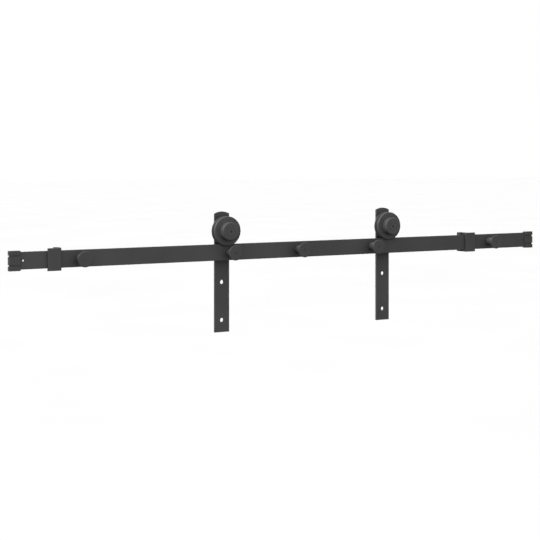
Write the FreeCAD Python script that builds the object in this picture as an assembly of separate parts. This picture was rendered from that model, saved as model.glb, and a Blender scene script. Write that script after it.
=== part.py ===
import FreeCAD, Part

import math
import os

# Sliding barn door hardware: a flat rail on standoffs, two strap hangers with grooved wheels,
# two adjustable stops and two end caps.  Millimetres.
# Frame: +X along the rail, +Z up, wall plane at Y = 0, room side towards +Y.
# Origin: centre of the middle standoff's wall face.

# ---------------------------------------------------------------- driving dimensions
FIXING_X = (-584.0, -196.0, 0.0, 224.0, 614.0)    # standoffs along the rail
STANDOFF_LENGTH = 35.0
STANDOFF_NECK_RADIUS = 10.5
STANDOFF_FLANGE_RADIUS = 18.5
STANDOFF_FLANGE_THICKNESS = 3.0
STANDOFF_EDGE_RADIUS = 1.2

RAIL_X = (-750.0, 768.0)
RAIL_HEIGHT = 40.0
RAIL_THICKNESS = 6.0
RAIL_Z = 0.0                  # rail's centreline, level with the fixings
RAIL_EDGE_RADIUS = 0.7
LAP_HALF_LENGTH = 18.0        # half-lap joint, centred on the middle fixing
END_HOLE_RADIUS = 2.5
END_HOLE_FROM_END = 31.0

HEAD_TURN_SHARE = 1.1         # how far a bolt head's corners are turned off, past its flats
WALL_SCREW_RADIUS = 4.0
WALL_SCREW_BORE_CLEARANCE = 0.06
WALL_SCREW_HEAD_FLATS = 13.0
WALL_SCREW_HEAD_HEIGHT = 5.3
WALL_SCREW_END_GAP = 0.1      # screw's cut-off end below the standoff's wall face
WALL_WASHER_RADIUS = 9.0
WALL_WASHER_THICKNESS = 1.6

CAP_LENGTH = 26.7
CAP_HEIGHT = 45.6
CAP_DEPTH = 12.1
CAP_END_WALL = 3.0
CAP_EDGE_RADIUS = 1.0
CAP_GROOVE_Z = 11.0
CAP_GROOVE_WIDTH = 3.6
CAP_GROOVE_DEPTH = 2.0

HANGER_X = {"left": -204.0, "right": 276.0}
AXLE_ABOVE_RAIL = 32.0        # axle above the rail's top edge, the rolling radius
STRAP_WIDTH = 40.0
STRAP_THICKNESS = 6.0
STRAP_TOP = 47.1              # crown of the strap above the axle
STRAP_CROWN = 5.2             # rise of the curved top
STRAP_BOTTOM = 251.5          # foot of the strap below the axle
STRAP_EDGE_RADIUS = 0.7
STRAP_TO_WHEEL = 12.4
DOOR_HOLE_RADIUS = 5.4
DOOR_HOLES_BELOW_AXLE = (127.6, 221.6)

WHEEL_RADIUS = 36.4
WHEEL_WIDTH = 18.5
WHEEL_RIM_RADIUS = 2.4
TREAD_RUNNING_GAP = 0.3
TREAD_HALF_WIDTH = 3.5
GROOVE_MOUTH_HALF_WIDTH = 5.0
WHEEL_SHOULDER_RADIUS = 12.0

AXLE_RADIUS = 5.0
AXLE_FIT = 0.03               # radial clearance of the bolt in what it clamps
AXLE_HEAD_FLATS = 17.0
AXLE_HEAD_HEIGHT = 6.4
AXLE_WASHER_RADIUS = 10.0
AXLE_WASHER_THICKNESS = 1.6
AXLE_NOSE_RADIUS = 7.5        # the spacers' contact with the bearing's inner ring
SPACER_RADIUS = 10.0
SPACER_WHEEL_GAP = 1.0
HUB_CAP_RADIUS = 22.5
HUB_CAP_REACH = 16.8
HUB_CAP_EDGE_RADIUS = 2.5
HUB_CAP_WHEEL_GAP = 0.95
HUB_CAP_GROOVE_RADIUS = 11.0
HUB_CAP_GROOVE_HALF_WIDTH = 0.5
HUB_CAP_SOCKET_FLATS = 5.0
HUB_CAP_SOCKET_DEPTH = 3.0
HUB_CAP_THREAD_DEPTH = 12.0

BEARING_RADIUS = 15.0
BEARING_WIDTH = 9.0
BALL_RADIUS = 2.5
BALL_PITCH_RADIUS = 10.0
BALL_COUNT = 8
BALL_RUNNING_GAP = 0.3
INNER_RING_RADIUS = 8.4
OUTER_RING_BORE = 11.6
CAGE_RADII = (9.3, 10.7)
CAGE_WIDTH = 6.8
CAGE_POCKET_GAP = 0.1
SEAL_RADII = (8.75, 11.6)
SEAL_THICKNESS = 0.5
SEAL_INSET = 0.1
CIRCLIP_RADII = (13.2, 15.8)
CIRCLIP_THICKNESS = 1.2
CIRCLIP_GROOVE_EXTRA = 0.1
CIRCLIP_OPENING = 7.0

STOP_X = {"left": -647.0, "right": 547.0}
STOP_PLATE_WIDTH = 32.0
STOP_PLATE_THICKNESS = 5.0
STOP_HEIGHT = 52.0
STOP_RAIL_CLEARANCE = 0.3
STOP_BLOCK_DEPTH = 22.7       # behind the rail's clearance slot
STOP_BLOCK_X = (7.5, 17.0)    # from the plate's middle towards the hangers
STOP_BRIDGE_X = (7.5, 15.0)
STOP_BRIDGE_REACH = 46.5
STOP_EDGE_RADIUS = 0.8
PAD_THICKNESS = 4.0
PAD_Y = (48.5, 64.0)
PAD_HEIGHT = 51.4
PAD_EDGE_RADIUS = 1.0
PAD_SCREW_RADIUS = 2.0
PAD_SCREW_HEAD_RADIUS = 3.8
PAD_SCREW_HEAD_HEIGHT = 2.0
PAD_SCREW_SEAT = 1.0          # rubber left under the screw's head
PAD_SCREW_LENGTH = 10.0
PAD_SCREW_SOCKET_FLATS = 2.5
PAD_SCREW_SOCKET_DEPTH = 1.2
SET_SCREW_RADIUS = 2.5
SET_SCREW_LENGTH = 12.0
SET_SCREW_TIP_GAP = 0.2
SET_SCREW_Z = 12.0
SET_SCREW_SOCKET_FLATS = 2.5
SET_SCREW_SOCKET_DEPTH = 3.0
THREAD_CLEARANCE = 0.05

OVERCUT = 1.0                 # how far a cutting tool runs past the face it opens
SAME_PLANE = 0.01             # how near an edge is to a plane that it lies in

# ---------------------------------------------------------------- planes worked out from them
RAIL_Y = (STANDOFF_LENGTH, STANDOFF_LENGTH + RAIL_THICKNESS)
RAIL_MID_Y = sum(RAIL_Y) / 2
AXLE_Z = RAIL_Z + RAIL_HEIGHT / 2 + AXLE_ABOVE_RAIL
WHEEL_Y = (RAIL_MID_Y - WHEEL_WIDTH / 2, RAIL_MID_Y + WHEEL_WIDTH / 2)
BEARING_Y = (RAIL_MID_Y - BEARING_WIDTH / 2, RAIL_MID_Y + BEARING_WIDTH / 2)
STRAP_Y = (WHEEL_Y[1] + STRAP_TO_WHEEL, WHEEL_Y[1] + STRAP_TO_WHEEL + STRAP_THICKNESS)
HUB_CAP_Y = (WHEEL_Y[0] - HUB_CAP_WHEEL_GAP - HUB_CAP_REACH, WHEEL_Y[0] - HUB_CAP_WHEEL_GAP)
SLOT_Y = (RAIL_Y[0] - STOP_RAIL_CLEARANCE, RAIL_Y[1] + STOP_RAIL_CLEARANCE)
STOP_Y = (SLOT_Y[0] - STOP_PLATE_THICKNESS, SLOT_Y[1] + STOP_BLOCK_DEPTH)


# ---------------------------------------------------------------- shape helpers
def box(x, y, z):
    """Block between two limits on each axis, given in either order."""
    low = [min(x), min(y), min(z)]
    size = [abs(x[1] - x[0]), abs(y[1] - y[0]), abs(z[1] - z[0])]
    return Part.makeBox(*size, FreeCAD.Vector(*low))


def rod(radius, y, x, z):
    """Cylinder along Y between two limits."""
    return Part.makeCylinder(radius, y[1] - y[0], FreeCAD.Vector(x, y[0], z), FreeCAD.Vector(0, 1, 0))


def ring(radii, y, x, z):
    """Plain ring along Y, from its bore radius to its outer radius."""
    return rod(radii[1], y, x, z).cut(rod(radii[0], y, x, z))


def turned(profile, x, z):
    """Solid of revolution about a Y axis, from a closed outline of (radius, y) points."""
    points = [FreeCAD.Vector(x + radius, y, z) for radius, y in profile]
    face = Part.Face(Part.makePolygon(points + points[:1]))
    return face.revolve(FreeCAD.Vector(x, 0, z), FreeCAD.Vector(0, 1, 0), 360)


def hexagon(flats, y, x, z):
    """Hexagonal prism along Y, measured across its flats."""
    corner = flats / math.sqrt(3)
    angles = [math.radians(60 * step) for step in range(6)]
    points = [FreeCAD.Vector(x + corner * math.cos(a), y[0], z + corner * math.sin(a)) for a in angles]
    face = Part.Face(Part.makePolygon(points + points[:1]))
    return face.extrude(FreeCAD.Vector(0, y[1] - y[0], 0))


def hex_head(flats, y, x, z):
    """Hexagonal bolt head whose free end, towards +Y, has its corners turned off."""
    corner = flats / math.sqrt(3)
    turn = (corner - flats / 2) * HEAD_TURN_SHARE
    outline = [(0, y[0]), (corner, y[0]), (corner, y[1] - turn / 2), (corner - turn, y[1]), (0, y[1])]
    return hexagon(flats, y, x, z).common(turned(outline, x, z))


def edges_along_x(shape):
    """The edges that run along X."""
    boxes = [(edge, edge.BoundBox) for edge in shape.Edges]
    return [edge for edge, limits in boxes if max(limits.YLength, limits.ZLength) < SAME_PLANE]


def on_y_planes(shape, planes):
    """The edges that lie in any of the given planes of constant Y."""
    boxes = [(edge, edge.BoundBox) for edge in shape.Edges]
    return [edge for edge, limits in boxes
            if any(max(abs(limits.YMin - y), abs(limits.YMax - y)) < SAME_PLANE for y in planes)]


def on_x_plane(shape, x):
    """The edges that lie in the plane of constant X."""
    boxes = [(edge, edge.BoundBox) for edge in shape.Edges]
    return [edge for edge, limits in boxes
            if max(abs(limits.XMin - x), abs(limits.XMax - x)) < SAME_PLANE]


# ---------------------------------------------------------------- rail and its fixings
def rail_bar():
    half = RAIL_HEIGHT / 2
    blank = box(RAIL_X, RAIL_Y, (RAIL_Z - half, RAIL_Z + half))
    bar = blank.makeFillet(RAIL_EDGE_RADIUS, edges_along_x(blank))
    for x in FIXING_X:
        bar = bar.cut(rod(WALL_SCREW_RADIUS + WALL_SCREW_BORE_CLEARANCE, RAIL_Y, x, RAIL_Z))
    for x in (RAIL_X[0] + END_HOLE_FROM_END, RAIL_X[1] - END_HOLE_FROM_END):
        bar = bar.cut(rod(END_HOLE_RADIUS, RAIL_Y, x, RAIL_Z))
    return bar


def rail_halves():
    """Two bars that overlap in a half-lap: the left one lies against the wall side."""
    bar = rail_bar()
    tall = (RAIL_Z - RAIL_HEIGHT, RAIL_Z + RAIL_HEIGHT)
    lap = (-LAP_HALF_LENGTH, LAP_HALF_LENGTH)
    wall_half = (RAIL_Y[0] - OVERCUT, RAIL_MID_Y)
    room_half = (RAIL_MID_Y, RAIL_Y[1] + OVERCUT)
    whole = (wall_half[0], room_half[1])
    left = box((RAIL_X[0] - OVERCUT, lap[0]), whole, tall).fuse(box(lap, wall_half, tall))
    right = box((lap[1], RAIL_X[1] + OVERCUT), whole, tall).fuse(box(lap, room_half, tall))
    return {"rail_left": bar.common(left).removeSplitter(),
            "rail_right": bar.common(right).removeSplitter()}


def standoff(x):
    """Spacer with a flange against the wall and a neck to the rail, bored for its wall screw."""
    y = (0, STANDOFF_LENGTH)
    flange_y = (0, STANDOFF_FLANGE_THICKNESS)
    flange = rod(STANDOFF_FLANGE_RADIUS, flange_y, x, RAIL_Z)
    flange = flange.makeFillet(STANDOFF_EDGE_RADIUS, on_y_planes(flange, flange_y))
    body = flange.fuse(rod(STANDOFF_NECK_RADIUS, y, x, RAIL_Z)).removeSplitter()
    return body.cut(rod(WALL_SCREW_RADIUS + WALL_SCREW_BORE_CLEARANCE, y, x, RAIL_Z))


def wall_screw(x):
    head_y = RAIL_Y[1] + WALL_WASHER_THICKNESS
    head = hex_head(WALL_SCREW_HEAD_FLATS, (head_y, head_y + WALL_SCREW_HEAD_HEIGHT), x, RAIL_Z)
    shank = rod(WALL_SCREW_RADIUS, (WALL_SCREW_END_GAP, head_y), x, RAIL_Z)
    return shank.fuse(head).removeSplitter()


def wall_washer(x):
    bore = WALL_SCREW_RADIUS + WALL_SCREW_BORE_CLEARANCE
    y = (RAIL_Y[1], RAIL_Y[1] + WALL_WASHER_THICKNESS)
    return ring((bore, WALL_WASHER_RADIUS), y, x, RAIL_Z)


def end_cap(rail_end, inward):
    """Moulded cap over a rail end; inward is the X direction into the rail."""
    end = rail_end - inward * CAP_END_WALL
    x = (end, end + inward * CAP_LENGTH)
    y = (RAIL_MID_Y - CAP_DEPTH / 2, RAIL_MID_Y + CAP_DEPTH / 2)
    z = (RAIL_Z - CAP_HEIGHT / 2, RAIL_Z + CAP_HEIGHT / 2)
    open_end = x[1] + inward * OVERCUT
    shell = box(x, y, z)
    shell = shell.makeFillet(CAP_EDGE_RADIUS, shell.Edges)
    for height in (-CAP_GROOVE_Z, CAP_GROOVE_Z):
        middle = RAIL_Z + height
        band = (middle - CAP_GROOVE_WIDTH / 2, middle + CAP_GROOVE_WIDTH / 2)
        outer = box((end - inward * OVERCUT, open_end), (y[0] - OVERCUT, y[1] + OVERCUT), band)
        inner = box((end + inward * CAP_GROOVE_DEPTH, open_end),
                    (y[0] + CAP_GROOVE_DEPTH, y[1] - CAP_GROOVE_DEPTH), band)
        shell = shell.cut(outer.cut(inner))
    half = RAIL_HEIGHT / 2
    pocket = box((rail_end, open_end), RAIL_Y, (RAIL_Z - half, RAIL_Z + half))
    return shell.cut(pocket)


# ---------------------------------------------------------------- hanger
def strap(x):
    """Flat hanger strap with a crowned top, an axle hole and two holes for the door bolts."""
    half = STRAP_WIDTH / 2
    foot = AXLE_Z - STRAP_BOTTOM
    crown = AXLE_Z + STRAP_TOP
    shoulder = crown - STRAP_CROWN
    corners = [FreeCAD.Vector(x + side * half, STRAP_Y[0], z)
               for side, z in ((-1, shoulder), (-1, foot), (1, foot), (1, shoulder))]
    sides = [Part.makeLine(a, b) for a, b in zip(corners, corners[1:])]
    top = Part.Arc(corners[-1], FreeCAD.Vector(x, STRAP_Y[0], crown), corners[0]).toShape()
    blank = Part.Face(Part.Wire(sides + [top])).extrude(FreeCAD.Vector(0, STRAP_THICKNESS, 0))
    face_edges = on_y_planes(blank, STRAP_Y)
    plate = blank.makeFillet(STRAP_EDGE_RADIUS, face_edges)
    plate = plate.cut(rod(AXLE_RADIUS + AXLE_FIT, STRAP_Y, x, AXLE_Z))
    for below in DOOR_HOLES_BELOW_AXLE:
        plate = plate.cut(rod(DOOR_HOLE_RADIUS, STRAP_Y, x, AXLE_Z - below))
    return plate


def axle_bolt(x):
    tip = HUB_CAP_Y[1] - HUB_CAP_THREAD_DEPTH
    head_y = STRAP_Y[1] + AXLE_WASHER_THICKNESS
    head = hex_head(AXLE_HEAD_FLATS, (head_y, head_y + AXLE_HEAD_HEIGHT), x, AXLE_Z)
    return rod(AXLE_RADIUS, (tip, head_y), x, AXLE_Z).fuse(head).removeSplitter()


def axle_washer(x):
    y = (STRAP_Y[1], STRAP_Y[1] + AXLE_WASHER_THICKNESS)
    return ring((AXLE_RADIUS + AXLE_FIT, AXLE_WASHER_RADIUS), y, x, AXLE_Z)


def spacer_bush(x):
    """Stepped bush that holds the strap off the bearing's inner ring."""
    bore = AXLE_RADIUS + AXLE_FIT
    step = WHEEL_Y[1] + SPACER_WHEEL_GAP
    outline = [(bore, BEARING_Y[1]), (AXLE_NOSE_RADIUS, BEARING_Y[1]), (AXLE_NOSE_RADIUS, step),
               (SPACER_RADIUS, step), (SPACER_RADIUS, STRAP_Y[0]), (bore, STRAP_Y[0])]
    return turned(outline, x, AXLE_Z)


def thrust_collar(x):
    bore = AXLE_RADIUS + AXLE_FIT
    return ring((bore, AXLE_NOSE_RADIUS), (HUB_CAP_Y[1], BEARING_Y[0]), x, AXLE_Z)


def hub_cap(x):
    """Round nut that closes the axle on the wall side, with a hexagon socket and a ring groove."""
    front, back = HUB_CAP_Y
    bore = (back - HUB_CAP_THREAD_DEPTH, back)
    groove = (HUB_CAP_GROOVE_RADIUS - HUB_CAP_GROOVE_HALF_WIDTH,
              HUB_CAP_GROOVE_RADIUS + HUB_CAP_GROOVE_HALF_WIDTH)
    disc = rod(HUB_CAP_RADIUS, HUB_CAP_Y, x, AXLE_Z)
    disc = disc.makeFillet(HUB_CAP_EDGE_RADIUS, on_y_planes(disc, [front]))
    disc = disc.cut(rod(AXLE_RADIUS + AXLE_FIT, bore, x, AXLE_Z))
    disc = disc.cut(ring(groove, (front, front + HUB_CAP_GROOVE_HALF_WIDTH), x, AXLE_Z))
    return disc.cut(hexagon(HUB_CAP_SOCKET_FLATS, (front, front + HUB_CAP_SOCKET_DEPTH), x, AXLE_Z))


# ---------------------------------------------------------------- wheel and bearing
def wheel(x):
    """Grooved wheel: flanges either side of the rail and a pocket for the bearing."""
    near, far = WHEEL_Y
    tread = AXLE_ABOVE_RAIL - TREAD_RUNNING_GAP
    mid = RAIL_MID_Y
    outline = [(WHEEL_SHOULDER_RADIUS, near), (WHEEL_RADIUS, near),
               (WHEEL_RADIUS, mid - GROOVE_MOUTH_HALF_WIDTH), (tread, mid - TREAD_HALF_WIDTH),
               (tread, mid + TREAD_HALF_WIDTH), (WHEEL_RADIUS, mid + GROOVE_MOUTH_HALF_WIDTH),
               (WHEEL_RADIUS, far), (BEARING_RADIUS, far), (BEARING_RADIUS, BEARING_Y[0]),
               (WHEEL_SHOULDER_RADIUS, BEARING_Y[0])]
    body = turned(outline, x, AXLE_Z)
    rims = [edge for edge in on_y_planes(body, WHEEL_Y)
            if abs(edge.BoundBox.ZLength - 2 * WHEEL_RADIUS) < SAME_PLANE]
    body = body.makeFillet(WHEEL_RIM_RADIUS, rims)
    groove_y = (BEARING_Y[1], BEARING_Y[1] + CIRCLIP_THICKNESS + CIRCLIP_GROOVE_EXTRA)
    return body.cut(rod(CIRCLIP_RADII[1] + CIRCLIP_GROOVE_EXTRA, groove_y, x, AXLE_Z))


def ball_track(x):
    """Torus that the balls sweep, with their running gap."""
    return Part.makeTorus(BALL_PITCH_RADIUS, BALL_RADIUS + BALL_RUNNING_GAP,
                          FreeCAD.Vector(x, RAIL_MID_Y, AXLE_Z), FreeCAD.Vector(0, 1, 0))


def bearing_outer_ring(x):
    return ring((OUTER_RING_BORE, BEARING_RADIUS), BEARING_Y, x, AXLE_Z).cut(ball_track(x))


def bearing_inner_ring(x):
    return ring((AXLE_RADIUS + AXLE_FIT, INNER_RING_RADIUS), BEARING_Y, x, AXLE_Z).cut(ball_track(x))


def ball_directions():
    """Unit vectors from the axle to each ball."""
    angles = [2 * math.pi * step / BALL_COUNT for step in range(BALL_COUNT)]
    return [FreeCAD.Vector(math.cos(a), 0, math.sin(a)) for a in angles]


def bearing_balls(x):
    centre = FreeCAD.Vector(x, RAIL_MID_Y, AXLE_Z)
    return Part.makeCompound([Part.makeSphere(BALL_RADIUS, centre + way * BALL_PITCH_RADIUS)
                              for way in ball_directions()])


def bearing_cage(x):
    """Ring with a round pocket, drilled from outside, for each ball."""
    centre = FreeCAD.Vector(x, RAIL_MID_Y, AXLE_Z)
    y = (RAIL_MID_Y - CAGE_WIDTH / 2, RAIL_MID_Y + CAGE_WIDTH / 2)
    cage = ring(CAGE_RADII, y, x, AXLE_Z)
    depth = CAGE_RADII[1] - CAGE_RADII[0] + 2 * OVERCUT
    for way in ball_directions():
        start = centre + way * (CAGE_RADII[0] - OVERCUT)
        cage = cage.cut(Part.makeCylinder(BALL_RADIUS + CAGE_POCKET_GAP, depth, start, way))
    return cage


def bearing_seals(x):
    near = (BEARING_Y[0] + SEAL_INSET, BEARING_Y[0] + SEAL_INSET + SEAL_THICKNESS)
    far = (BEARING_Y[1] - SEAL_INSET - SEAL_THICKNESS, BEARING_Y[1] - SEAL_INSET)
    return Part.makeCompound([ring(SEAL_RADII, y, x, AXLE_Z) for y in (near, far)])


def circlip(x):
    y = (BEARING_Y[1], BEARING_Y[1] + CIRCLIP_THICKNESS)
    opening = (x - CIRCLIP_OPENING / 2, x + CIRCLIP_OPENING / 2)
    gap = box(opening, y, (AXLE_Z - CIRCLIP_RADII[1] - OVERCUT, AXLE_Z))
    return ring(CIRCLIP_RADII, y, x, AXLE_Z).cut(gap)


# ---------------------------------------------------------------- stops
def stop_span(x, inward, limits):
    """Span along X given from the stop's middle towards the hangers."""
    return (x + inward * limits[0], x + inward * limits[1])


def stop_body(x, inward):
    """Clamp that wraps the rail: a plate on the wall side, two bridges and a block behind."""
    half = STOP_HEIGHT / 2
    z = (RAIL_Z - half, RAIL_Z + half)
    slot_half = RAIL_HEIGHT / 2 + STOP_RAIL_CLEARANCE
    plate = box((x - STOP_PLATE_WIDTH / 2, x + STOP_PLATE_WIDTH / 2), (STOP_Y[0], SLOT_Y[0]), z)
    plate = plate.makeFillet(STOP_EDGE_RADIUS, on_y_planes(plate, [STOP_Y[0]]))
    bridge = box(stop_span(x, inward, STOP_BRIDGE_X), (SLOT_Y[0], STOP_BRIDGE_REACH), z)
    block = box(stop_span(x, inward, STOP_BLOCK_X), (STOP_BRIDGE_REACH, STOP_Y[1]), z)
    block = block.makeFillet(STOP_EDGE_RADIUS, on_y_planes(block, [STOP_Y[1]]))
    body = plate.fuse(bridge).fuse(block).removeSplitter()
    body = body.cut(box((x - STOP_PLATE_WIDTH, x + STOP_PLATE_WIDTH), SLOT_Y,
                        (RAIL_Z - slot_half, RAIL_Z + slot_half)))
    screw_x = x + inward * sum(STOP_BRIDGE_X) / 2
    tapped_y = (SLOT_Y[1] - STOP_RAIL_CLEARANCE, STOP_Y[1] + OVERCUT)
    tapped_radius = SET_SCREW_RADIUS + THREAD_CLEARANCE
    for side in (-1, 1):
        body = body.cut(rod(tapped_radius, tapped_y, screw_x, RAIL_Z + side * SET_SCREW_Z))
    return body.cut(pad_screw_shank(x, inward, PAD_SCREW_RADIUS + THREAD_CLEARANCE))


def stop_set_screws(x, inward):
    """Two grub screws that clamp the stop to the rail."""
    screw_x = x + inward * sum(STOP_BRIDGE_X) / 2
    tip = RAIL_Y[1] + SET_SCREW_TIP_GAP
    end = tip + SET_SCREW_LENGTH
    screws = []
    for side in (-1, 1):
        z = RAIL_Z + side * SET_SCREW_Z
        socket = hexagon(SET_SCREW_SOCKET_FLATS, (end - SET_SCREW_SOCKET_DEPTH, end), screw_x, z)
        screws.append(rod(SET_SCREW_RADIUS, (tip, end), screw_x, z).cut(socket))
    return Part.makeCompound(screws)


def along_x(radius, span, y):
    """Cylinder along X through the rail's centreline height."""
    low = FreeCAD.Vector(min(span), y, RAIL_Z)
    return Part.makeCylinder(radius, abs(span[1] - span[0]), low, FreeCAD.Vector(1, 0, 0))


def pad_screw_shank(x, inward, radius):
    seat = STOP_BLOCK_X[1] + PAD_SCREW_SEAT
    span = stop_span(x, inward, (seat - PAD_SCREW_LENGTH, seat))
    return along_x(radius, span, sum(PAD_Y) / 2)


def stop_pad(x, inward):
    """Rubber buffer that the strap's edge meets."""
    face = STOP_BLOCK_X[1]
    z = (RAIL_Z - PAD_HEIGHT / 2, RAIL_Z + PAD_HEIGHT / 2)
    block = box(stop_span(x, inward, (face, face + PAD_THICKNESS)), PAD_Y, z)
    outer_x = x + inward * (face + PAD_THICKNESS)
    pad = block.makeFillet(PAD_EDGE_RADIUS, on_x_plane(block, outer_x))
    middle = sum(PAD_Y) / 2
    outside = face + PAD_THICKNESS + OVERCUT
    through = stop_span(x, inward, (face - OVERCUT, outside))
    counterbore = stop_span(x, inward, (face + PAD_SCREW_SEAT, outside))
    pad = pad.cut(along_x(PAD_SCREW_RADIUS + THREAD_CLEARANCE, through, middle))
    return pad.cut(along_x(PAD_SCREW_HEAD_RADIUS + THREAD_CLEARANCE, counterbore, middle))


def stop_pad_screw(x, inward):
    seat = STOP_BLOCK_X[1] + PAD_SCREW_SEAT
    top = seat + PAD_SCREW_HEAD_HEIGHT
    middle = sum(PAD_Y) / 2
    head = along_x(PAD_SCREW_HEAD_RADIUS, stop_span(x, inward, (seat, top)), middle)
    socket_span = stop_span(x, inward, (top - PAD_SCREW_SOCKET_DEPTH, top))
    socket = hexagon(PAD_SCREW_SOCKET_FLATS, (0, PAD_SCREW_SOCKET_DEPTH), 0, 0)
    socket.rotate(FreeCAD.Vector(0, 0, 0), FreeCAD.Vector(0, 0, 1), -90)
    socket.translate(FreeCAD.Vector(min(socket_span), middle, RAIL_Z))
    return pad_screw_shank(x, inward, PAD_SCREW_RADIUS).fuse(head).removeSplitter().cut(socket)


# ---------------------------------------------------------------- the whole set
def build_nodes():
    nodes = rail_halves()
    for number, x in enumerate(FIXING_X, start=1):
        nodes["standoff_%d" % number] = standoff(x)
    nodes["wall_screws"] = Part.makeCompound([wall_screw(x) for x in FIXING_X])
    nodes["wall_washers"] = Part.makeCompound([wall_washer(x) for x in FIXING_X])
    nodes["end_cap_left"] = end_cap(RAIL_X[0], 1)
    nodes["end_cap_right"] = end_cap(RAIL_X[1], -1)
    hanger_pieces = (strap, axle_bolt, axle_washer, spacer_bush, thrust_collar, hub_cap, wheel,
                     bearing_outer_ring, bearing_inner_ring, bearing_balls, bearing_cage,
                     bearing_seals, circlip)
    for side, x in HANGER_X.items():
        for piece in hanger_pieces:
            nodes["%s_%s" % (piece.__name__, side)] = piece(x)
    stop_pieces = (stop_body, stop_set_screws, stop_pad, stop_pad_screw)
    for side, inward in (("left", 1), ("right", -1)):
        for piece in stop_pieces:
            nodes["%s_%s" % (piece.__name__, side)] = piece(STOP_X[side], inward)
    return nodes


def main():
    os.makedirs("parts", exist_ok=True)
    for name, shape in build_nodes().items():
        shape.exportStep("parts/%s.step" % name)


main()
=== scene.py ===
import math

import bpy
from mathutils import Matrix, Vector


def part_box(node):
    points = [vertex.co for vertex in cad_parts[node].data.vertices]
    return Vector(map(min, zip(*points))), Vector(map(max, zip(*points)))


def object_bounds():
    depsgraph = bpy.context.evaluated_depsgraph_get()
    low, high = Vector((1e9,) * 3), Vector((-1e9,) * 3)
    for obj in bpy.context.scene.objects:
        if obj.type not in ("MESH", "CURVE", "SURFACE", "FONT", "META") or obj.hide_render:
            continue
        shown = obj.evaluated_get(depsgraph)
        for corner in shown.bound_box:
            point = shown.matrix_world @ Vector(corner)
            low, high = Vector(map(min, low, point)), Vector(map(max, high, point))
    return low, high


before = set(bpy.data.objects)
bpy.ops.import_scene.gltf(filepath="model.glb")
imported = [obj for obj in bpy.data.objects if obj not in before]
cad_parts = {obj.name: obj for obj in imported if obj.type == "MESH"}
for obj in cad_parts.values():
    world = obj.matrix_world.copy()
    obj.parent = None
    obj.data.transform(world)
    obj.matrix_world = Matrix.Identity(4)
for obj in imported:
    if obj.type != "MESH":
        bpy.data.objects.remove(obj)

CAD_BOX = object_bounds()
MM = 0.001
SIDES = ("left", "right")
STANDOFFS = 5

# ---------------------------------------------------------------- camera, in metres and degrees
SENSOR_WIDTH = 36.0                 # millimetres
FOCAL_LENGTH = 82.55                # millimetres
CAMERA_PLACE = (-1.5967, -2.6743, 0.2330)
CAMERA_TILT = 90.0                  # from looking straight down, so the camera is level
CAMERA_TURN = -29.21                # about Z, from looking along +Y
HORIZON_RISE = 0.2085               # horizon above the frame's middle, as a share of its side
CAMERA_REACH = 200.0

# ---------------------------------------------------------------- floor and backdrop
FLOOR_DROP = 0.9                    # floor below the lowest point of the object
FLOOR_REACH = 60.0
FLOOR_LEVELS = (0.68, 0.70)         # its colour drifts between these greys
FLOOR_ROUGHNESS = 0.9
FLOOR_UNEVENNESS = 0.2 * MM
WORLD_COLOR = (1.0, 1.0, 1.0, 1.0)

# ---------------------------------------------------------------- lights
SKY_TOWARDS = (-0.3, -0.1, 0.95)    # direction that the soft light comes from
SKY_RAMP = (-0.7, 1.0, 0.1, 1.2)    # along that direction: from, to, strength at each
FILL_OFFSET = (-1.2, -3.2, 1.4)     # from the object's middle
FILL_SIZE = 2.5
FILL_POWER = 26.0
RIM_TOWARDS = (-0.75, 0.05, 0.65)   # direction that the side light comes from
RIM_SPREAD = 30.0
RIM_STRENGTH = 2.0

# ---------------------------------------------------------------- finishes: grey level, roughness
POWDER = (0.05, 0.5)
TURNED = (0.055, 0.44)
OXIDE = (0.07, 0.36)
CAP_PLASTIC = (0.045, 0.46)
CAGE_NYLON = (0.3, 0.5)
RUBBER_LEVEL = 0.035
OXIDE_METALLIC = 0.6                # the steel shows through the thin oxide
STEEL_LEVELS = (0.5, 0.66)

GRAIN_SIZE = 0.5 * MM               # of the powder coat
GRAIN_DEPTH = 0.05 * MM
COAT_EDGE = 0.6 * MM                # width of the edge where a coat lies thin
OXIDE_EDGE = 0.4 * MM
PAINTED_SHADE_REACH = 25 * MM             # how near another surface brings painted shade onto a coat
PAINTED_SHADE_DEPTH = 0.5                 # how dark the painted shade gets there
LATHE_PITCH = 0.45 * MM             # from one turned ring to the next
GRINDING_PITCH = 0.2 * MM

# The Mix node's sockets for colours, which share their names with its other sockets.
MIX_FIRST, MIX_SECOND, MIX_RESULT = 6, 7, 2


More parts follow.
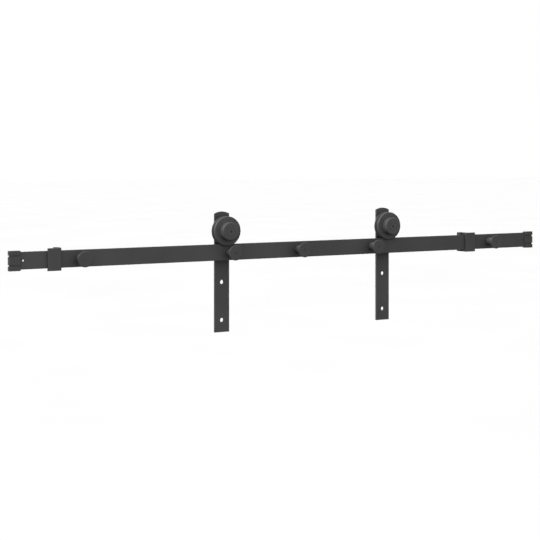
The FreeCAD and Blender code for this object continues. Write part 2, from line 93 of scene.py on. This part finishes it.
# ---------------------------------------------------------------- node helpers
class Nodes:
    """A material's node tree with short calls for adding and joining nodes."""

    def __init__(self, name):
        self.material = bpy.data.materials.new(name)
        self.material.use_nodes = True
        self.tree = self.material.node_tree
        self.shader = self.tree.nodes["Principled BSDF"]

    def add(self, kind, settings=None, **inputs):
        """New node; settings are its properties, inputs its sockets by name with _ for space."""
        node = self.tree.nodes.new(kind)
        for key, value in (settings or {}).items():
            setattr(node, key, value)
        for key, value in inputs.items():
            self.feed(node.inputs[key.replace("_", " ")], value)
        return node

    def feed(self, socket, value):
        """Links a socket to another node's output, or sets it to a constant."""
        if isinstance(value, bpy.types.NodeSocket):
            self.tree.links.new(value, socket)
        else:
            socket.default_value = value

    def math(self, operation, first, second=0.0):
        node = self.add("ShaderNodeMath", {"operation": operation})
        self.feed(node.inputs[0], first)
        self.feed(node.inputs[1], second)
        return node.outputs[0]

    def vector_math(self, operation, first, second=(0.0, 0.0, 0.0)):
        node = self.add("ShaderNodeVectorMath", {"operation": operation})
        self.feed(node.inputs[0], first)
        self.feed(node.inputs[1], second)
        return node.outputs

    def position(self):
        return self.add("ShaderNodeTexCoord").outputs["Object"]

    def noise(self, scale, detail=3.0, roughness=0.5, vector=None):
        node = self.add("ShaderNodeTexNoise", Scale=scale, Detail=detail, Roughness=roughness)
        self.feed(node.inputs["Vector"], vector or self.position())
        return node.outputs["Fac"]

    def spread(self, value, low, high, start=0.3, end=0.7):
        """Maps the values from start to end onto low to high, and holds them outside."""
        node = self.add("ShaderNodeMapRange",
                        From_Min=start, From_Max=end, To_Min=low, To_Max=high)
        self.feed(node.inputs["Value"], value)
        return node.outputs["Result"]

    def mix(self, share, first, second):
        node = self.add("ShaderNodeMix", {"data_type": "RGBA"}, Factor=share)
        self.feed(node.inputs[MIX_FIRST], first)
        self.feed(node.inputs[MIX_SECOND], second)
        return node.outputs[MIX_RESULT]

    def drift(self, cloud, dark, light):
        """Colour that drifts between two as a noise does."""
        return self.mix(self.spread(cloud, 0.0, 1.0), dark, light)

    def bump(self, height, distance, normal=None):
        node = self.add("ShaderNodeBump", Strength=1.0, Distance=distance, Height=height)
        if normal is not None:
            self.feed(node.inputs["Normal"], normal)
        return node.outputs["Normal"]

    def edge_mask(self, radius):
        """Above 0 at sharp outer and inner edges, 0 on open faces."""
        bevel = self.add("ShaderNodeBevel", {"samples": 4}, Radius=radius).outputs["Normal"]
        normal = self.add("ShaderNodeNewGeometry").outputs["Normal"]
        likeness = self.vector_math("DOT_PRODUCT", bevel, normal)["Value"]
        return self.math("SUBTRACT", 1.0, likeness)

    def painted_crevice_shade(self, color, reach, depth):
        """Paints shade into a colour where the surface is closed in: painted shade in corners and
        crevices, darker the nearer other surfaces are.
        """
        probe = self.add("ShaderNodeAmbientOcclusion", {"samples": 8}, Distance=reach)
        shade = self.spread(probe.outputs["AO"], low=depth, high=0.0, start=0.35, end=0.95)
        return self.mix(shade, color, grey(0.0))

    def finish(self, color, roughness, normal, metallic=0.0):
        self.feed(self.shader.inputs["Base Color"], color)
        self.feed(self.shader.inputs["Roughness"], roughness)
        self.feed(self.shader.inputs["Metallic"], metallic)
        self.feed(self.shader.inputs["Normal"], normal)
        return self.material


def grey(level, warmth=0.0):
    return (level * (1 + warmth), level, level * (1 - warmth), 1.0)


# ---------------------------------------------------------------- materials
def powder_coat(name, level, roughness):
    """Sprayed and baked black powder: orange peel, fine grain, thin paint on the edges, and
    painted shade in its crevices.
    """
    n = Nodes(name)
    cloud = n.noise(9.0, detail=4.0)
    speck = n.noise(1 / (GRAIN_SIZE * 0.8), detail=2.0)
    base = n.drift(cloud, grey(level * 0.86), grey(level * 1.14, 0.01))
    dust = n.spread(speck, low=0.0, high=0.35, start=0.55, end=0.75)
    dusted = n.mix(dust, base, grey(level * 1.9))
    wear = n.spread(n.edge_mask(COAT_EDGE), low=0.0, high=0.5, start=0.04, end=0.35)
    worn = n.mix(wear, dusted, grey(level * 2.0))
    # painted shade: the coat is darkened in corners and crevices, where shade falls
    color = n.painted_crevice_shade(worn, PAINTED_SHADE_REACH, PAINTED_SHADE_DEPTH)
    peel = n.bump(n.noise(1 / (GRAIN_SIZE * 3.0), detail=2.0), GRAIN_DEPTH * 1.4)
    grain = n.bump(n.noise(1 / GRAIN_SIZE, roughness=0.6), GRAIN_DEPTH, normal=peel)
    uneven = n.math("ADD", roughness, n.spread(cloud, -0.05, 0.06))
    return n.finish(color, uneven, grain)


def moulded_plastic(name, level, roughness):
    """Spark-eroded mould texture with faint flow marks along the part."""
    n = Nodes(name)
    stretch = n.add("ShaderNodeMapping", Scale=(0.15, 1.0, 1.0), Vector=n.position())
    flow = n.noise(160.0, vector=stretch.outputs["Vector"])
    color = n.drift(flow, grey(level * 0.9), grey(level * 1.15))
    grain = n.bump(n.noise(2600.0, detail=2.0, roughness=0.6), 0.03 * MM)
    uneven = n.math("ADD", roughness, n.spread(flow, -0.04, 0.05))
    return n.finish(color, uneven, grain)


def rubber(name, level):
    """Matte rubber with a dusty bloom and small pits."""
    n = Nodes(name)
    bloom = n.noise(120.0, detail=5.0, roughness=0.65)
    color = n.drift(bloom, grey(level * 0.8), grey(level * 1.7, 0.02))
    pits = n.bump(n.noise(1800.0, roughness=0.7), 0.05 * MM)
    return n.finish(color, n.spread(bloom, 0.72, 0.9), pits)


def axis_rings(n, axle, pitch):
    """Fine lathe rings round an axle parallel to Y, as a wave."""
    away = n.vector_math("SUBTRACT", n.position(), axle)["Vector"]
    flat = n.vector_math("MULTIPLY", away, (1.0, 0.0, 1.0))["Vector"]
    radius = n.vector_math("LENGTH", flat)["Value"]
    phase = n.math("MULTIPLY", radius, 2 * math.pi / pitch)
    return n.math("MULTIPLY_ADD", n.math("SINE", phase), 0.5)


def turned_coat(name, axle, level, roughness):
    """Satin coat over lathe-turned steel: faint rings show through the paint."""
    n = Nodes(name)
    cloud = n.noise(30.0, detail=4.0)
    base = n.drift(cloud, grey(level * 0.88), grey(level * 1.14))
    wear = n.spread(n.edge_mask(COAT_EDGE), low=0.0, high=0.55, start=0.04, end=0.35)
    color = n.mix(wear, base, grey(level * 1.3))
    turned = n.bump(axis_rings(n, axle, LATHE_PITCH), 0.006 * MM)
    grain = n.bump(n.noise(1400.0, roughness=0.6), 0.03 * MM, normal=turned)
    uneven = n.math("ADD", roughness, n.spread(cloud, -0.05, 0.06))
    return n.finish(color, uneven, grain)


def black_oxide(name, level, roughness):
    """Oiled black oxide on steel fasteners, thin and browner on the corners."""
    n = Nodes(name)
    cloud = n.noise(220.0, detail=4.0, roughness=0.6)
    base = n.drift(cloud, grey(level * 0.8, -0.04), grey(level * 1.25, 0.03))
    wear = n.spread(n.edge_mask(OXIDE_EDGE), low=0.0, high=0.7, start=0.05, end=0.4)
    color = n.mix(wear, base, grey(level * 4.0, 0.06))
    grain = n.bump(n.noise(2400.0, roughness=0.6), 0.015 * MM)
    uneven = n.math("ADD", roughness, n.spread(cloud, -0.08, 0.08))
    return n.finish(color, uneven, grain, OXIDE_METALLIC)


def ground_steel(name, axle):
    """Ground bearing steel with fine rings round the axle."""
    n = Nodes(name)
    smear = n.noise(300.0, detail=4.0, roughness=0.6)
    color = n.drift(smear, grey(STEEL_LEVELS[0], 0.01), grey(STEEL_LEVELS[1], -0.01))
    ground = n.bump(axis_rings(n, axle, GRINDING_PITCH), 0.004 * MM)
    return n.finish(color, n.spread(smear, 0.2, 0.34), ground, metallic=1.0)


def assign(material, *names):
    for name in names:
        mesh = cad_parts[name].data
        mesh.materials.clear()
        mesh.materials.append(material)


def sided(side, *parts):
    """Names of a side's nodes."""
    return [part + "_" + side for part in parts]


def dress_side(side, axle, finishes):
    """Gives one side's hanger, wheel, bearing and stop their finishes."""
    turned = turned_coat("turned_black_" + side, axle, *TURNED)
    steel = ground_steel("bearing_steel_" + side, axle)
    assign(finishes["strap"], *sided(side, "strap"))
    assign(finishes["powder"], *sided(side, "stop_body"))
    assign(turned, *sided(side, "wheel", "hub_cap", "spacer_bush", "thrust_collar"))
    assign(finishes["oxide"],
           *sided(side, "axle_bolt", "axle_washer", "stop_set_screws", "stop_pad_screw"))
    assign(steel,
           *sided(side, "bearing_outer_ring", "bearing_inner_ring", "bearing_balls", "circlip"))
    assign(finishes["cage"], *sided(side, "bearing_cage"))
    assign(finishes["rubber"], *sided(side, "bearing_seals", "stop_pad"))
    assign(finishes["cap"], *sided(side, "end_cap"))


def dress_nodes():
    """Gives every CAD node its finish."""
    finishes = {
        "powder": powder_coat("powder_black", *POWDER),
        "strap": powder_coat("powder_black_strap", *POWDER),
        "oxide": black_oxide("black_oxide", *OXIDE),
        "cap": moulded_plastic("cap_plastic", *CAP_PLASTIC),
        "rubber": rubber("pad_rubber", RUBBER_LEVEL),
        "cage": moulded_plastic("cage_nylon", *CAGE_NYLON),
    }
    standoffs = ["standoff_%d" % number for number in range(1, STANDOFFS + 1)]
    assign(finishes["powder"], "rail_left", "rail_right", *standoffs)
    assign(finishes["oxide"], "wall_screws", "wall_washers")
    for side in SIDES:
        low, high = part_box("wheel_" + side)
        dress_side(side, (low + high) / 2, finishes)


# ---------------------------------------------------------------- stage, lights, camera
def place(name, data):
    """New object in the scene that holds the data."""
    item = bpy.data.objects.new(name, data)
    bpy.context.scene.collection.objects.link(item)
    return item


def make_floor():
    z = CAD_BOX[0].z - FLOOR_DROP
    signs = ((-1, -1), (1, -1), (1, 1), (-1, 1))
    corners = [(x * FLOOR_REACH, y * FLOOR_REACH, z) for x, y in signs]
    mesh = bpy.data.meshes.new("floor")
    mesh.from_pydata(corners, [], [(0, 1, 2, 3)])
    floor = place("floor", mesh)
    n = Nodes("floor")
    cloud = n.noise(0.8, detail=2.0)
    color = n.drift(cloud, grey(FLOOR_LEVELS[0]), grey(FLOOR_LEVELS[1]))
    mesh.materials.append(n.finish(color, FLOOR_ROUGHNESS, n.bump(cloud, FLOOR_UNEVENNESS)))
    floor.visible_diffuse = False
    floor.visible_glossy = False


def sky_strength(tree):
    """Strength of the backdrop's light, which fades away from SKY_TOWARDS."""
    direction = tree.nodes.new("ShaderNodeTexCoord")
    along = tree.nodes.new("ShaderNodeVectorMath")
    along.operation = "DOT_PRODUCT"
    along.inputs[1].default_value = Vector(SKY_TOWARDS).normalized()
    tree.links.new(direction.outputs["Generated"], along.inputs[0])
    ramp = tree.nodes.new("ShaderNodeMapRange")
    ramp.interpolation_type = "SMOOTHSTEP"
    for socket, value in zip(("From Min", "From Max", "To Min", "To Max"), SKY_RAMP):
        ramp.inputs[socket].default_value = value
    tree.links.new(along.outputs["Value"], ramp.inputs["Value"])
    return ramp.outputs["Result"]


def make_world():
    """White backdrop; the light it gives comes from above and fades to a dim ground."""
    world = bpy.data.worlds.new("studio")
    world.use_nodes = True
    tree = world.node_tree
    shown = tree.nodes["Background"]
    shown.inputs["Color"].default_value = WORLD_COLOR
    sky = tree.nodes.new("ShaderNodeBackground")
    sky.inputs["Color"].default_value = WORLD_COLOR
    tree.links.new(sky_strength(tree), sky.inputs["Strength"])
    path = tree.nodes.new("ShaderNodeLightPath")
    choose = tree.nodes.new("ShaderNodeMixShader")
    tree.links.new(path.outputs["Is Camera Ray"], choose.inputs[0])
    tree.links.new(sky.outputs[0], choose.inputs[1])
    tree.links.new(shown.outputs[0], choose.inputs[2])
    tree.links.new(choose.outputs[0], tree.nodes["World Output"].inputs["Surface"])
    bpy.context.scene.world = world


def facing(direction):
    """Rotation that points a light along a direction."""
    return Vector(direction).to_track_quat("-Z", "Y").to_euler()


def make_lights():
    """A wide square light in front and above, and a soft distant one from the side."""
    fill = bpy.data.lights.new("fill", "AREA")
    fill.size = FILL_SIZE
    fill.energy = FILL_POWER
    fill_light = place("fill", fill)
    fill_light.location = (CAD_BOX[0] + CAD_BOX[1]) / 2 + Vector(FILL_OFFSET)
    fill_light.rotation_euler = facing(-Vector(FILL_OFFSET))
    rim = bpy.data.lights.new("rim", "SUN")
    rim.angle = math.radians(RIM_SPREAD)
    rim.energy = RIM_STRENGTH
    rim_light = place("rim", rim)
    rim_light.rotation_euler = facing(-Vector(RIM_TOWARDS))


def make_camera():
    data = bpy.data.cameras.new("camera")
    data.sensor_width = SENSOR_WIDTH
    data.lens = FOCAL_LENGTH
    data.shift_y = -HORIZON_RISE
    data.clip_end = CAMERA_REACH
    camera = place("camera", data)
    camera.location = CAMERA_PLACE
    camera.rotation_euler = (math.radians(CAMERA_TILT), 0.0, math.radians(CAMERA_TURN))
    bpy.context.scene.camera = camera


make_camera()
dress_nodes()
make_floor()
make_world()
make_lights()
bpy.context.scene.view_settings.view_transform = "Standard"
